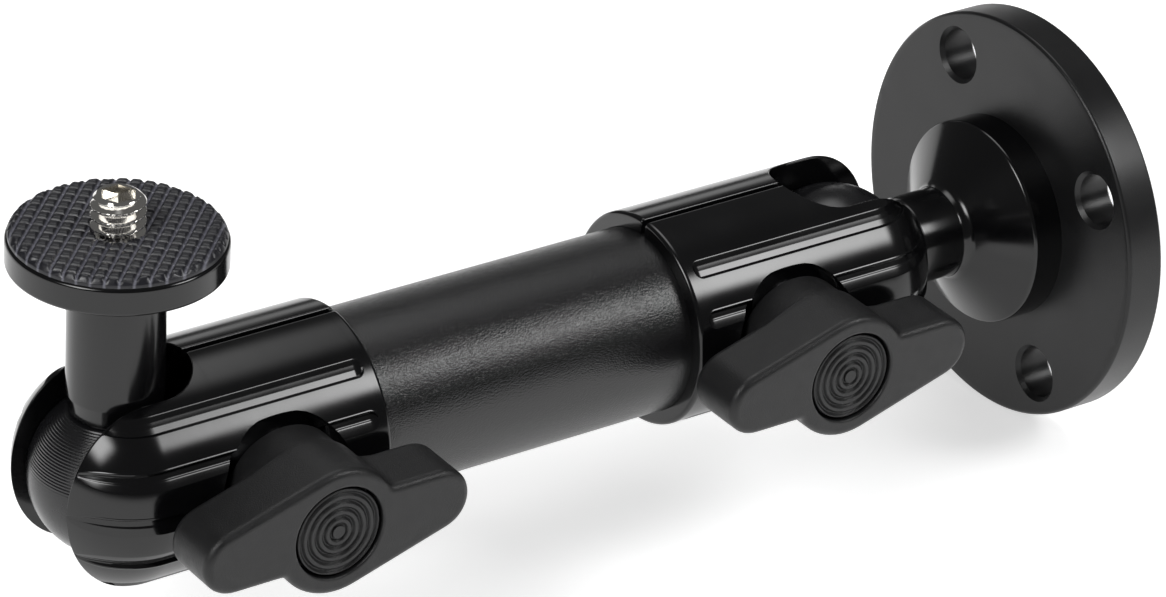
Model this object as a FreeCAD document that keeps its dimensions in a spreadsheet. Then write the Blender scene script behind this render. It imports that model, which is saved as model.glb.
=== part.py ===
import FreeCAD, Part
import math
import os
import Sketcher
from FreeCAD import Placement, Rotation, Vector

NEAR = 1e-4  # two lengths closer than this, in mm, are the same

# A camera wall bracket: a drilled round wall plate on a pedestal with a ball, a short tube arm with a
# two-shell ball clamp at each end, and a second ball that carries a round camera disc with its screw.
# The origin is the centre of the wall plate's back face. The wall is the plane Y = 0, the arm runs
# along -Y, the camera screw points up (+Z) and both wing knobs are on the +X side.

doc = FreeCAD.newDocument("CameraWallBracket")
sheet = doc.addObject("Spreadsheet::Sheet", "Sizes")


class Size:
    """A length or angle: its value, and the sheet formula that it comes from."""

    def __init__(self, value, formula):
        self.value = float(value)
        self.formula = formula

    def combined(self, sign, other, value):
        return Size(value, f"({self.formula} {sign} {as_size(other).formula})")

    def __add__(self, other):
        return self.combined("+", other, self.value + as_size(other).value)

    def __sub__(self, other):
        return self.combined("-", other, self.value - as_size(other).value)

    def __mul__(self, other):
        return self.combined("*", other, self.value * as_size(other).value)

    def __truediv__(self, other):
        return self.combined("/", other, self.value / as_size(other).value)

    def __neg__(self):
        return Size(-self.value, f"(0 - {self.formula})")


def as_size(thing):
    return thing if isinstance(thing, Size) else Size(thing, str(float(thing)))


def root(area):
    return Size(math.sqrt(area.value), f"sqrt({area.formula})")


def sine(angle):
    return Size(math.sin(math.radians(angle.value)), f"sin({angle.formula})")


def cosine(angle):
    return Size(math.cos(math.radians(angle.value)), f"cos({angle.formula})")


def side_of(hypotenuse, other_side):
    """The third side of a right-angled triangle."""
    return root(hypotenuse * hypotenuse - other_side * other_side)


row_number = 0


def size(alias, value, note):
    """Writes one driving size on a row of the sheet and returns it for use in formulas."""
    global row_number
    row_number += 1
    sheet.set(f"A{row_number}", note)
    sheet.set(f"B{row_number}", str(value))
    sheet.setAlias(f"B{row_number}", alias)
    return Size(value, f"Sizes.{alias}")


# Wall plate and its fixings
plate_radius = size("plate_radius", 26.2, "wall plate: radius")
plate_thick = size("plate_thick", 5.3, "wall plate: thickness")
plate_edge = size("plate_edge", 0.4, "wall plate: chamfer of both rims")
fixing_margin = size("fixing_margin", 5.45, "wall plate: rim to the centre of a screw hole")
fixing_bore = size("fixing_bore", 3.25, "wall plate: radius of each screw hole")
fixing_break = size("fixing_break", 0.5, "wall plate: chamfer of the screw holes")
fixing_angle = size("fixing_angle", 30, "wall plate: angle of the first screw hole from +X")
fixing_count = size("fixing_count", 4, "wall plate: number of screw holes")
fixing_circle = plate_radius - fixing_margin

# Pedestal, its screw, and the neck that the wall ball sits on
flange_radius = size("flange_radius", 13.1, "pedestal: radius of the foot")
flange_height = size("flange_height", 4.1, "pedestal: straight height of the foot")
flange_edge = size("flange_edge", 0.45, "pedestal: chamfer of the foot's rim")
cone_height = size("cone_height", 4.8, "pedestal: height of the cone")
neck_radius = size("neck_radius", 5.7, "pedestal and camera stem: radius of the neck")
neck_tip = size("neck_tip", 5.3, "pedestal and camera stem: radius of the neck at the ball")
neck_taper = size("neck_taper", 2.5, "pedestal and camera stem: length of the taper at the ball")
neck_blend = size("neck_blend", 1.6, "pedestal: radius of the hollow between cone and neck")
ball_reach = size("ball_reach", 31.5, "wall to the centre of the wall ball")
screw_radius = size("screw_radius", 3.0, "pedestal screw: radius of the shank")
screw_head = size("screw_head", 6.0, "pedestal screw: radius of the countersunk head")
screw_length = size("screw_length", 16.0, "pedestal screw: length over all")
screw_socket = size("screw_socket", 4.0, "pedestal screw: key size across flats")
socket_depth = size("socket_depth", 2.5, "pedestal screw: depth of the key socket")
screw_room = size("screw_room", 1.0, "pedestal: room past the end of the screw")

# Balls
ball_radius = size("ball_radius", 10.0, "ball: radius")
ball_flat = size("ball_flat", 8.3, "ball: centre to the flat that the neck stands on")
spin_gap = size("spin_gap", 0.05, "ball: running clearance on the neck")
stub_radius = size("stub_radius", 3.0, "neck: radius of the threaded stub in the ball")
stub_length = size("stub_length", 9.0, "neck: length of the threaded stub in the ball")
bore_end = size("bore_end", 1.0, "ball: room past the end of the stub")

# Arm tube and its plugs
ball_pitch = size("ball_pitch", 103.0, "arm: ball centre to ball centre")
tube_radius = size("tube_radius", 11.5, "arm tube: outer radius")
tube_bore = size("tube_bore", 7.0, "arm tube: inner radius")
tube_place = size("tube_place", 22.0, "arm tube: ball centre to the end of the tube")
tube_edge = size("tube_edge", 0.4, "arm tube: chamfer of the ends")
plug_flange = size("plug_flange", 10.0, "tube plug: radius of the flange")
plug_thick = size("plug_thick", 1.8, "tube plug: thickness of the flange")
plug_depth = size("plug_depth", 6.0, "tube plug: length inside the tube")
seat_gap = size("seat_gap", 0.05, "clamp: clearance between shell and tube")
plug_gap = size("plug_gap", 0.1, "clamp: clearance between shell and plug")

# Clamp shells
shell_radius = size("shell_radius", 13.4, "clamp shell: outer radius")
shell_reach = size("shell_reach", 29.5, "clamp shell: ball centre to the edge at the tube")
shell_edge = size("shell_edge", 0.35, "clamp shell: chamfer of the edge at the tube")
lip_angle = size("lip_angle", 70.0, "clamp shell: how far the dome wraps round the ball past its middle")
socket_gap = size("socket_gap", 0.12, "clamp shell: clearance between socket and ball")
mouth_half = size("mouth_half", 6.3, "clamp shell: half width of the slot for the neck")
mouth_place = size("mouth_place", 2.8, "clamp shell: ball centre to the centre of the slot's round end")
parting_half = size("parting_half", 0.4, "clamp shell: half of the gap between the shells")
bolt_place = size("bolt_place", 15.2, "clamp: ball centre to the axis of bolt and knob")
dish_radius = size("dish_radius", 8.8, "front shell: radius of the dish about the knob")
dish_floor = size("dish_floor", 10.4, "front shell: arm axis to the floor of the dish")
flute_width = size("flute_width", 2.2, "clamp shell: width of a flute")
flute_depth = size("flute_depth", 0.55, "clamp shell: depth of a flute")
flute_stop = size("flute_stop", 1.5, "clamp shell: plain strip between flute and edge")
flute_inner = size("flute_inner", 20.0, "clamp shell: angle of the flutes beside the knob")
flute_outer = size("flute_outer", 51.0, "clamp shell: angle of the flutes beside the gap")

# Bolt, nut, washer and spring of a clamp
bolt_radius = size("bolt_radius", 2.5, "clamp bolt: radius of the shank")
bolt_hex = size("bolt_hex", 8.0, "clamp bolt and nut: size across flats")
bolt_head = size("bolt_head", 3.5, "clamp bolt: height of the head")
bolt_room = size("bolt_room", 0.6, "clamp bolt: its end to the knob's cap")
head_floor = size("head_floor", 9.0, "rear shell: arm axis to the floor of the bolt head's pocket")
head_gap = size("head_gap", 0.1, "rear shell: clearance about the bolt head")
bolt_gap = size("bolt_gap", 0.3, "clamp shells and washer: radial clearance about the bolt")
nut_height = size("nut_height", 4.0, "clamp nut: height")
thread_gap = size("thread_gap", 0.05, "clamp nut: running clearance on the bolt")
washer_radius = size("washer_radius", 6.0, "washer: radius")
washer_thick = size("washer_thick", 1.2, "washer: thickness")
spring_radius = size("spring_radius", 3.25, "opening spring: mean radius")
spring_wire = size("spring_wire", 0.35, "opening spring: half the width of the flat-sided wire")
spring_pitch = size("spring_pitch", 3.2, "opening spring: pitch of the coils")
spring_half = size("spring_half", 6.0, "opening spring: arm axis to either end")
spring_room = size("spring_room", 0.3, "clamp shells: clearance about the spring")

# Wing knob and its cap
knob_gap = size("knob_gap", 0.05, "knob: running clearance on the washer")
knob_face = size("knob_face", 24.5, "knob: arm axis to the outer face")
wing_thick = size("wing_thick", 8.0, "knob: thickness of the wings")
hub_radius = size("hub_radius", 8.0, "knob: radius of the hub between the wings")
hub_foot = size("hub_foot", 7.6, "knob: radius of the hub behind the wings")
wing_place = size("wing_place", 13.7, "knob: axis to the centre of a wing's round tip")
wing_radius = size("wing_radius", 4.0, "knob: radius of a wing's round tip")
wing_blend = size("wing_blend", 2.0, "knob: fillet in the corner of hub and wing")
knob_edge = size("knob_edge", 0.7, "knob: rounding of the outer edges")
under_edge = size("under_edge", 0.35, "knob: rounding of the edges behind the wings")
nut_floor = size("nut_floor", 4.0, "knob: thickness of the floor under the nut")
cap_radius = size("cap_radius", 5.5, "knob cap: radius")
cap_inset = size("cap_inset", 0.3, "knob cap: depth of its face below the knob's face")
cap_thick = size("cap_thick", 2.6, "knob cap: thickness")
ring_pitch = size("ring_pitch", 1.0, "knob cap: distance from ring to ring")
ring_first = size("ring_first", 0.95, "knob cap: inner radius of the first groove")
ring_width = size("ring_width", 0.5, "knob cap: width of a groove")
ring_depth = size("ring_depth", 0.45, "knob cap: depth of a groove")

# Camera head
disc_top = size("disc_top", 30.6, "camera disc: ball centre to the top of the disc")
disc_radius = size("disc_radius", 12.7, "camera disc: radius")
disc_thick = size("disc_thick", 3.5, "camera disc: thickness")
disc_edge = size("disc_edge", 0.4, "camera disc: chamfer of its rims")
stem_blend = size("stem_blend", 1.0, "camera disc: fillet under the disc")
pad_radius = size("pad_radius", 12.4, "camera pad: radius")
pad_bore = size("pad_bore", 3.4, "camera pad: radius of the hole for the screw")
pad_floor = size("pad_floor", 0.55, "camera pad: thickness of the sheet")
tooth_height = size("tooth_height", 0.55, "camera pad: height of the squares")
tooth_pitch = size("tooth_pitch", 1.6, "camera pad: distance from square to square")
tooth_gap = size("tooth_gap", 0.6, "camera pad: width of the channels between squares")
stud_radius = size("stud_radius", 3.175, "camera screw: radius")
stud_reach = size("stud_reach", 4.2, "camera screw: length above the pad")
stud_root = size("stud_root", 2.6, "camera screw: radius of the plain part in the disc")
stud_relief = size("stud_relief", 0.3, "camera screw: pad to the start of the thread")
stud_seat = size("stud_seat", 6.0, "camera screw: length in the disc")
stud_edge = size("stud_edge", 0.6, "camera screw: chamfer of the end")
stud_key = size("stud_key", 3.2, "camera screw: key size across flats")
stud_key_depth = size("stud_key_depth", 2.5, "camera screw: depth of the key socket")

# Planes across the arm's axis that several pieces share
knob_back = dish_floor + washer_thick + knob_gap
cap_back = knob_face - cap_inset - cap_thick
doc.recompute()

bodies = {}


def bind(thing, field, formula):
    """Binds a field of a document object to a formula of the sheet."""
    thing.setExpression(field, as_size(formula).formula)


def new_body(label):
    body = doc.addObject("PartDesign::Body", label)
    body.Label = label
    bodies[label] = body
    return body


def place(body, x=0, y=0, z=0, rotation=Rotation()):
    """Stands a body at a place worked out from the sheet."""
    body.Placement = Placement(Vector(), rotation)
    bind(body, "Placement.Base.x", x)
    bind(body, "Placement.Base.y", y)
    bind(body, "Placement.Base.z", z)


def origin_part(body, role):
    return next(part for part in body.Origin.OriginFeatures if part.Role == role)


def sketch_on(body, plane, name, height=0, turn=0):
    """A sketch on one of the body's origin planes, lifted along its normal or turned about its Y."""
    sketch = body.newObject("Sketcher::SketchObject", f"{body.Label}_{name}")
    sketch.AttachmentSupport = [(origin_part(body, plane), "")]
    sketch.MapMode = "FlatFace"
    sketch.AttachmentOffset = Placement(Vector(), Rotation(Vector(0, 1, 0), as_size(turn).value))
    bind(sketch, "AttachmentOffset.Base.z", height)
    if isinstance(turn, Size):
        bind(sketch, "AttachmentOffset.Rotation.Angle", turn)
    return sketch


def fix_point(sketch, edge, point, x, y):
    """Fixes a point of a sketch edge at a place worked out from the sheet."""
    for kind, distance, axis in (("DistanceX", x, -2), ("DistanceY", y, -1)):
        distance = as_size(distance)
        if distance.value == 0:
            sketch.addConstraint(Sketcher.Constraint("PointOnObject", edge, point, axis))
            continue
        made = sketch.addConstraint(Sketcher.Constraint(kind, -1, 1, edge, point, distance.value))
        bind(sketch, f"Constraints[{made}]", distance)


def fix_radius(sketch, edge, radius):
    made = sketch.addConstraint(Sketcher.Constraint("Radius", edge, as_size(radius).value))
    bind(sketch, f"Constraints[{made}]", radius)


def circle(sketch, x, y, radius):
    centre = Vector(as_size(x).value, as_size(y).value, 0)
    edge = sketch.addGeometry(Part.Circle(centre, Vector(0, 0, 1), as_size(radius).value), False)
    fix_radius(sketch, edge, radius)
    fix_point(sketch, edge, 3, x, y)


def arc_between(start, end, centre):
    """The shorter arc from start to end about a centre, and whether it runs clockwise."""
    first, last = (math.atan2(p.y - centre.y, p.x - centre.x) for p in (start, end))
    clockwise = math.sin(last - first) < 0
    if clockwise:
        first, last = last, first
    rim = Part.Circle(centre, Vector(0, 0, 1), (start - centre).Length)
    return Part.ArcOfCircle(rim, first, last), clockwise


def outline(sketch, corners):
    """A closed outline. A corner is (x, y), or (x, y, centre x, centre y) where an arc starts at it."""
    points = [Vector(as_size(c[0]).value, as_size(c[1]).value, 0) for c in corners]
    ends = []
    for number, corner in enumerate(corners):
        start, end = points[number], points[(number + 1) % len(corners)]
        if len(corner) == 2:
            edge = sketch.addGeometry(Part.LineSegment(start, end), False)
            ends.append((edge, 1, 2))
            continue
        centre = Vector(as_size(corner[2]).value, as_size(corner[3]).value, 0)
        arc, clockwise = arc_between(start, end, centre)
        edge = sketch.addGeometry(arc, False)
        ends.append((edge, 2, 1) if clockwise else (edge, 1, 2))
    for number, corner in enumerate(corners):
        edge, first, last = ends[number]
        following = ends[(number + 1) % len(corners)]
        sketch.addConstraint(Sketcher.Constraint("Coincident", edge, last, following[0], following[1]))
        fix_point(sketch, edge, first, corner[0], corner[1])
        if len(corner) == 4:
            across, up = as_size(corner[0]) - corner[2], as_size(corner[1]) - corner[3]
            fix_radius(sketch, edge, root(across * across + up * up))


def hexagon(sketch, flats, x=0, y=0):
    """A hexagon with two corners on the line x, from its size across flats."""
    side, corner = flats / 2, flats / math.sqrt(3)
    x, y = as_size(x), as_size(y)
    right, left, half = x + side, x - side, corner / 2
    outline(sketch, [(x, y + corner), (right, y + half), (right, y - half),
                     (x, y - corner), (left, y - half), (left, y + half)])


def revolve(body, sketch, axis, name="Turned", angle=360, kind="Revolution"):
    """Turns a sketch about one of its own axes."""
    made = body.newObject(f"PartDesign::{kind}", f"{body.Label}_{name}")
    made.Profile = sketch
    made.ReferenceAxis = (sketch, [axis])
    made.Angle = angle
    made.Midplane = angle < 360
    return made


def pad(body, sketch, length, name="Pad"):
    made = body.newObject("PartDesign::Pad", f"{body.Label}_{name}")
    made.Profile = sketch
    bind(made, "Length", length)
    return made


def pocket(body, sketch, name, length=None, towards_normal=True, both_ways=False):
    """A pocket from the sketch plane, to a depth or, with no length, through all."""
    made = body.newObject("PartDesign::Pocket", f"{body.Label}_{name}")
    made.Profile = sketch
    made.Reversed = towards_normal
    if both_ways:
        made.SideType = "Symmetric"
    if length is None:
        made.Type = "ThroughAll"
    else:
        bind(made, "Length", length)
    return made


def edges_at(feature, wanted):
    """Names of the edges of a feature's shape whose points all pass a test."""
    doc.recompute()
    names = []
    for number, edge in enumerate(feature.Shape.Edges, 1):
        points = [edge.valueAt(edge.FirstParameter + part * (edge.LastParameter - edge.FirstParameter))
                  for part in (0.0, 0.37, 0.71, 1.0)]
        if all(wanted(point) for point in points):
            names.append(f"Edge{number}")
    return names


def finish_edges(body, feature, kind, name, amount, wanted):
    """Rounds or chamfers the edges whose points pass a test."""
    made = body.newObject(f"PartDesign::{kind}", f"{body.Label}_{name}")
    made.Base = (feature, edges_at(feature, wanted))
    bind(made, "Radius" if kind == "Fillet" else "Size", amount)
    return made


def at(value, target):
    return abs(value - as_size(target).value) < NEAR


def around(point, axis):
    """Distance of a point from one of the body's axes."""
    rest = [getattr(point, letter) for letter in "xyz" if letter != axis]
    return math.hypot(rest[0], rest[1])


def wall_plate():
    """Round plate with chamfered rims, four screw holes and a countersunk centre hole at the back."""
    body = new_body("wall_plate")
    disc = sketch_on(body, "XZ_Plane", "disc")
    circle(disc, 0, 0, plate_radius)
    plate = pad(body, disc, plate_thick)
    finish_edges(body, plate, "Chamfer", "rims", plate_edge, lambda p: at(around(p, "y"), plate_radius))
    place_of_hole = (fixing_circle * cosine(fixing_angle), fixing_circle * sine(fixing_angle))
    hole = sketch_on(body, "XZ_Plane", "fixing")
    circle(hole, *place_of_hole, fixing_bore)
    drilled = pocket(body, hole, "fixing_hole")
    pattern = body.newObject("PartDesign::PolarPattern", "wall_plate_fixings")
    pattern.Originals = [drilled]
    pattern.Axis = (origin_part(body, "Y_Axis"), [""])
    pattern.Angle = 360
    bind(pattern, "Occurrences", fixing_count)
    body.Tip = pattern
    head_depth = screw_head - screw_radius
    centre = sketch_on(body, "XY_Plane", "countersink")
    past_front = -(plate_thick + head_depth)
    outline(centre, [(0, 0), (screw_head, 0), (screw_radius, -head_depth), (screw_radius, past_front),
                     (0, past_front)])
    sunk = revolve(body, centre, "V_Axis", "countersunk_hole", kind="Groove")
    finish_edges(body, sunk, "Chamfer", "hole_rims", fixing_break, on_a_hole_rim)


def on_a_hole_rim(point):
    """Whether a point lies on the front or back rim of one of the four screw holes."""
    if not (at(point.y, 0) or at(point.y, -plate_thick)):
        return False
    step = 360 / fixing_count.value
    for number in range(int(fixing_count.value)):
        angle = math.radians(fixing_angle.value + number * step)
        across = point.x - fixing_circle.value * math.cos(angle)
        up = point.z - fixing_circle.value * math.sin(angle)
        if at(math.hypot(across, up), fixing_bore):
            return True
    return False


def wall_pedestal():
    """Turned foot, cone and neck, with a threaded bore at the back and a stub for the ball."""
    body = new_body("wall_pedestal")
    foot, shoulder = -plate_thick, -(plate_thick + flange_height)
    cone_end = shoulder - cone_height
    flat = -(ball_reach - ball_flat) + spin_gap
    bore_depth = -(screw_length + screw_room)
    run, rise = flange_radius - neck_radius, cone_height
    slant = root(run * run + rise * rise)
    tangent = neck_blend * run / (slant + rise)
    profile = sketch_on(body, "XY_Plane", "profile")
    outline(profile, [(0, bore_depth), (screw_radius, bore_depth), (screw_radius, foot),
                      (flange_radius, foot), (flange_radius, shoulder),
                      (neck_radius + tangent * run / slant, cone_end + tangent * rise / slant,
                       neck_radius + neck_blend, cone_end - tangent),
                      (neck_radius, cone_end - tangent), (neck_radius, flat + neck_taper), (neck_tip, flat),
                      (stub_radius, flat), (stub_radius, flat - stub_length), (0, flat - stub_length)])
    turned = revolve(body, profile, "V_Axis")
    finish_edges(body, turned, "Chamfer", "rim", flange_edge,
                 lambda p: at(p.y, shoulder) and at(around(p, "y"), flange_radius))


def pedestal_screw():
    """Countersunk screw that holds plate and pedestal together, its head flush with the back."""
    body = new_body("pedestal_screw")
    profile = sketch_on(body, "XY_Plane", "profile")
    outline(profile, [(0, 0), (screw_head, 0), (screw_radius, screw_radius - screw_head),
                      (screw_radius, -screw_length), (0, -screw_length)])
    revolve(body, profile, "V_Axis")
    key = sketch_on(body, "XZ_Plane", "key")
    hexagon(key, screw_socket)
    pocket(body, key, "key_socket", socket_depth)


def ball(label, **where):
    """Ball with a flat and a bore for the neck's stub; the neck stands on its +Z side."""
    body = new_body(label)
    bore = stub_radius + spin_gap
    bottom = ball_flat - stub_length - bore_end
    flat_radius = side_of(ball_radius, ball_flat)
    profile = sketch_on(body, "XZ_Plane", "profile")
    outline(profile, [(0, bottom), (bore, bottom), (bore, ball_flat), (flat_radius, ball_flat, 0, 0),
                      (ball_radius, 0, 0, 0), (0, -ball_radius)])
    revolve(body, profile, "V_Axis")
    place(body, **where)


def arm_tube():
    """Straight tube between the two clamps."""
    body = new_body("arm_tube")
    ring = sketch_on(body, "XZ_Plane", "ring")
    circle(ring, 0, 0, tube_radius)
    circle(ring, 0, 0, tube_bore)
    tube = pad(body, ring, ball_pitch - tube_place * 2)
    finish_edges(body, tube, "Chamfer", "rims", tube_edge, lambda p: at(around(p, "y"), tube_radius))
    place(body, y=-(ball_reach + tube_place))


def tube_plug(label, rotation, y):
    """Flanged plug pressed into one end of the tube; its flange faces the ball."""
    body = new_body(label)
    profile = sketch_on(body, "XY_Plane", "profile")
    outline(profile, [(0, tube_place - plug_thick), (plug_flange, tube_place - plug_thick),
                      (plug_flange, tube_place), (tube_bore, tube_place),
                      (tube_bore, tube_place + plug_depth), (0, tube_place + plug_depth)])
    revolve(body, profile, "V_Axis")
    place(body, y=y, rotation=rotation)


def clamp_shell(label, rotation, y, front):
    """Half of a clamp: a domed half cylinder with a ball socket at one end and a tube seat at the other.

    Its own frame has the ball's centre at the origin, the tube along +Y and the knob on the +X side.
    """
    body = new_body(label)
    side = 1 if front else -1
    socket = ball_radius + socket_gap
    seat = tube_radius + seat_gap
    seat_start = tube_place - plug_thick - plug_gap
    low_x, low_y = cosine(lip_angle), -sine(lip_angle)
    profile = sketch_on(body, "XY_Plane", "profile")
    outline(profile, [(0, socket, 0, 0), (socket * side, 0, 0, 0), (socket * low_x * side, socket * low_y),
                      (shell_radius * low_x * side, shell_radius * low_y, 0, 0), (shell_radius * side, 0),
                      (shell_radius * side, shell_reach), (seat * side, shell_reach),
                      (seat * side, seat_start), (0, seat_start)])
    turned = revolve(body, profile, "V_Axis", angle=180)
    finish_edges(body, turned, "Chamfer", "edge", shell_edge,
                 lambda p: at(p.y, shell_reach) and at(around(p, "y"), shell_radius))
    cut_mouth(body, side)
    cut_bolt_way(body, side)
    if front:
        dish = sketch_on(body, "YZ_Plane", "dish", dish_floor)
        circle(dish, bolt_place, 0, dish_radius)
        pocket(body, dish, "knob_dish")
    else:
        head = sketch_on(body, "YZ_Plane", "head", -head_floor)
        hexagon(head, bolt_hex + head_gap * 2, bolt_place)
        pocket(body, head, "head_pocket", towards_normal=False)
    for number, angle in enumerate((flute_inner, -flute_inner, flute_outer, -flute_outer), 1):
        cut_flute(body, side, number, angle)
    place(body, y=y, rotation=rotation)


def cut_mouth(body, side):
    """The slot for the neck, with its round end, and half of the gap between the shells."""
    past = shell_reach + shell_radius
    slot_top = mouth_place + side_of(mouth_half, parting_half)
    mouth = sketch_on(body, "XY_Plane", "mouth")
    outline(mouth, [(-side, -past), (mouth_half * side, -past),
                    (mouth_half * side, mouth_place, 0, mouth_place), (parting_half * side, slot_top),
                    (parting_half * side, past), (-side, past)])
    pocket(body, mouth, "mouth", both_ways=True)


def cut_bolt_way(body, side):
    """The bolt's clearance hole and the pocket that keeps the opening spring in place."""
    hole = sketch_on(body, "YZ_Plane", "bolt_way")
    circle(hole, bolt_place, 0, bolt_radius + bolt_gap)
    pocket(body, hole, "bolt_hole", towards_normal=side > 0)
    seat = sketch_on(body, "YZ_Plane", "spring_seat")
    circle(seat, bolt_place, 0, spring_radius + spring_wire + spring_room)
    pocket(body, seat, "spring_pocket", spring_half, towards_normal=side > 0)


def cut_flute(body, side, number, angle):
    """One concave flute along the arm, round at the tube end, that runs out on the dome."""
    half = flute_width / 2
    round_radius = (half * half + flute_depth * flute_depth) / (flute_depth * 2)
    centre = shell_radius - flute_depth + round_radius
    stop = shell_reach - flute_stop
    flute = sketch_on(body, "XY_Plane", f"flute_{number}", turn=angle)
    outline(flute, [(centre * side, -shell_radius), ((centre - round_radius) * side, -shell_radius),
                    ((centre - round_radius) * side, stop - round_radius, centre * side, stop - round_radius),
                    (centre * side, stop)])
    line = Part.LineSegment(Vector(centre.value * side, 0, 0), Vector(centre.value * side, 1, 0))
    edge = flute.addGeometry(line, True)
    fix_point(flute, edge, 1, centre * side, 0)
    fix_point(flute, edge, 2, centre * side, 1)
    revolve(body, flute, "Axis0", f"flute_cut_{number}", kind="Groove")


def clamp_bolt(label, y):
    """Hex-head bolt across the clamp, its head in the rear shell."""
    body = new_body(label)
    head = sketch_on(body, "YZ_Plane", "head", -(head_floor + bolt_head))
    hexagon(head, bolt_hex)
    pad(body, head, bolt_head, "head_pad")
    shank = sketch_on(body, "YZ_Plane", "shank", -head_floor)
    circle(shank, 0, 0, bolt_radius)
    pad(body, shank, head_floor + cap_back - bolt_room, "shank_pad")
    place(body, y=y)


def clamp_spring(label, y):
    """Coil spring about the bolt that pushes the shells apart."""
    body = new_body(label)
    wire = sketch_on(body, "XZ_Plane", "wire")
    start, end = -spring_half, spring_wire * 2 - spring_half
    inner, outer = spring_radius - spring_wire, spring_radius + spring_wire
    outline(wire, [(start, inner), (end, inner), (end, outer), (start, outer)])
    coil = body.newObject("PartDesign::AdditiveHelix", f"{label}_coil")
    coil.Profile = wire
    coil.ReferenceAxis = (wire, ["H_Axis"])
    coil.Mode = "pitch-height-angle"
    bind(coil, "Pitch", spring_pitch)
    bind(coil, "Height", (spring_half - spring_wire) * 2)
    place(body, y=y)


def knob_washer(label, y):
    """Flat washer in the dish of the front shell."""
    body = new_body(label)
    ring = sketch_on(body, "YZ_Plane", "ring", dish_floor)
    circle(ring, 0, 0, washer_radius)
    circle(ring, 0, 0, bolt_radius + bolt_gap)
    pad(body, ring, washer_thick)
    place(body, y=y)


def knob(label, rotation, y):
    """Moulded wing knob: a round hub with two opposite wings, each with one slanted side."""
    body = new_body(label)
    hub = sketch_on(body, "YZ_Plane", "hub", knob_back)
    circle(hub, 0, 0, hub_foot)
    pad(body, hub, knob_face - knob_back, "hub_pad")
    slope = (hub_radius - wing_radius) / wing_place
    rise = root(-(slope * slope) + 1)
    step = side_of(hub_radius, wing_radius)
    wings = sketch_on(body, "YZ_Plane", "wings", knob_face - wing_thick)
    corners = []
    for way in (1, -1):
        tip = wing_place + wing_radius * slope
        corners += [(hub_radius * slope * way, -(hub_radius * rise) * way),
                    (tip * way, -(wing_radius * rise) * way, wing_place * way, 0),
                    (wing_place * way, wing_radius * way),
                    (step * way, wing_radius * way, 0, 0)]
    outline(wings, corners)
    winged = pad(body, wings, wing_thick, "wing_pad")
    corner = finish_edges(body, winged, "Fillet", "corners", wing_blend,
                          lambda p: at(abs(p.y), step) and at(abs(p.z), wing_radius))
    back = knob_face - wing_thick
    soft_back = finish_edges(body, corner, "Fillet", "wing_backs", under_edge,
                             lambda p: at(p.x, back) and around(p, "x") > hub_foot.value + NEAR)
    finish_edges(body, soft_back, "Fillet", "face_edge", knob_edge, lambda p: at(p.x, knob_face))
    bore = sketch_on(body, "YZ_Plane", "bore", knob_back)
    circle(bore, 0, 0, bolt_radius + bolt_gap)
    pocket(body, bore, "bolt_hole")
    nut = sketch_on(body, "YZ_Plane", "nut", knob_back + nut_floor)
    hexagon(nut, bolt_hex)
    pocket(body, nut, "nut_pocket")
    recess = sketch_on(body, "YZ_Plane", "recess", cap_back)
    circle(recess, 0, 0, cap_radius)
    pocket(body, recess, "cap_recess")
    place(body, y=y, rotation=rotation)


def knob_nut(label, y):
    """Hex nut in the knob."""
    body = new_body(label)
    nut = sketch_on(body, "YZ_Plane", "nut", knob_back + nut_floor)
    hexagon(nut, bolt_hex)
    circle(nut, 0, 0, bolt_radius + thread_gap)
    pad(body, nut, nut_height)
    place(body, y=y)


def knob_cap(label, y):
    """Round cap over the nut, with concentric rings on its face."""
    body = new_body(label)
    face = knob_face - cap_inset
    corners = [(cap_back, 0), (face, 0)]
    rings = int((cap_radius.value - ring_first.value) / ring_pitch.value)
    for number in range(rings):
        inner = ring_first + ring_pitch * number
        corners += [(face, inner), (face - ring_depth, inner),
                    (face - ring_depth, inner + ring_width), (face, inner + ring_width)]
    corners += [(face, cap_radius), (cap_back, cap_radius)]
    profile = sketch_on(body, "XY_Plane", "profile")
    outline(profile, corners)
    revolve(body, profile, "H_Axis")
    place(body, y=y)


def camera_stem():
    """Turned neck and disc, with a stub for the ball and a threaded bore for the camera screw."""
    body = new_body("camera_stem")
    flat = ball_flat + spin_gap
    under = disc_top - disc_thick
    bottom = disc_top - stud_seat
    profile = sketch_on(body, "XZ_Plane", "profile")
    outline(profile, [(0, flat - stub_length), (stub_radius, flat - stub_length), (stub_radius, flat),
                      (neck_tip, flat), (neck_radius, flat + neck_taper), (neck_radius, under),
                      (disc_radius, under), (disc_radius, disc_top), (stud_root, disc_top),
                      (stud_root, bottom), (0, bottom)])
    turned = revolve(body, profile, "V_Axis")
    blended = finish_edges(body, turned, "Fillet", "under_disc", stem_blend,
                           lambda p: at(p.z, under) and at(around(p, "z"), neck_radius))
    finish_edges(body, blended, "Chamfer", "rims", disc_edge, lambda p: at(around(p, "z"), disc_radius))
    place(body, y=-(ball_reach + ball_pitch))


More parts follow.
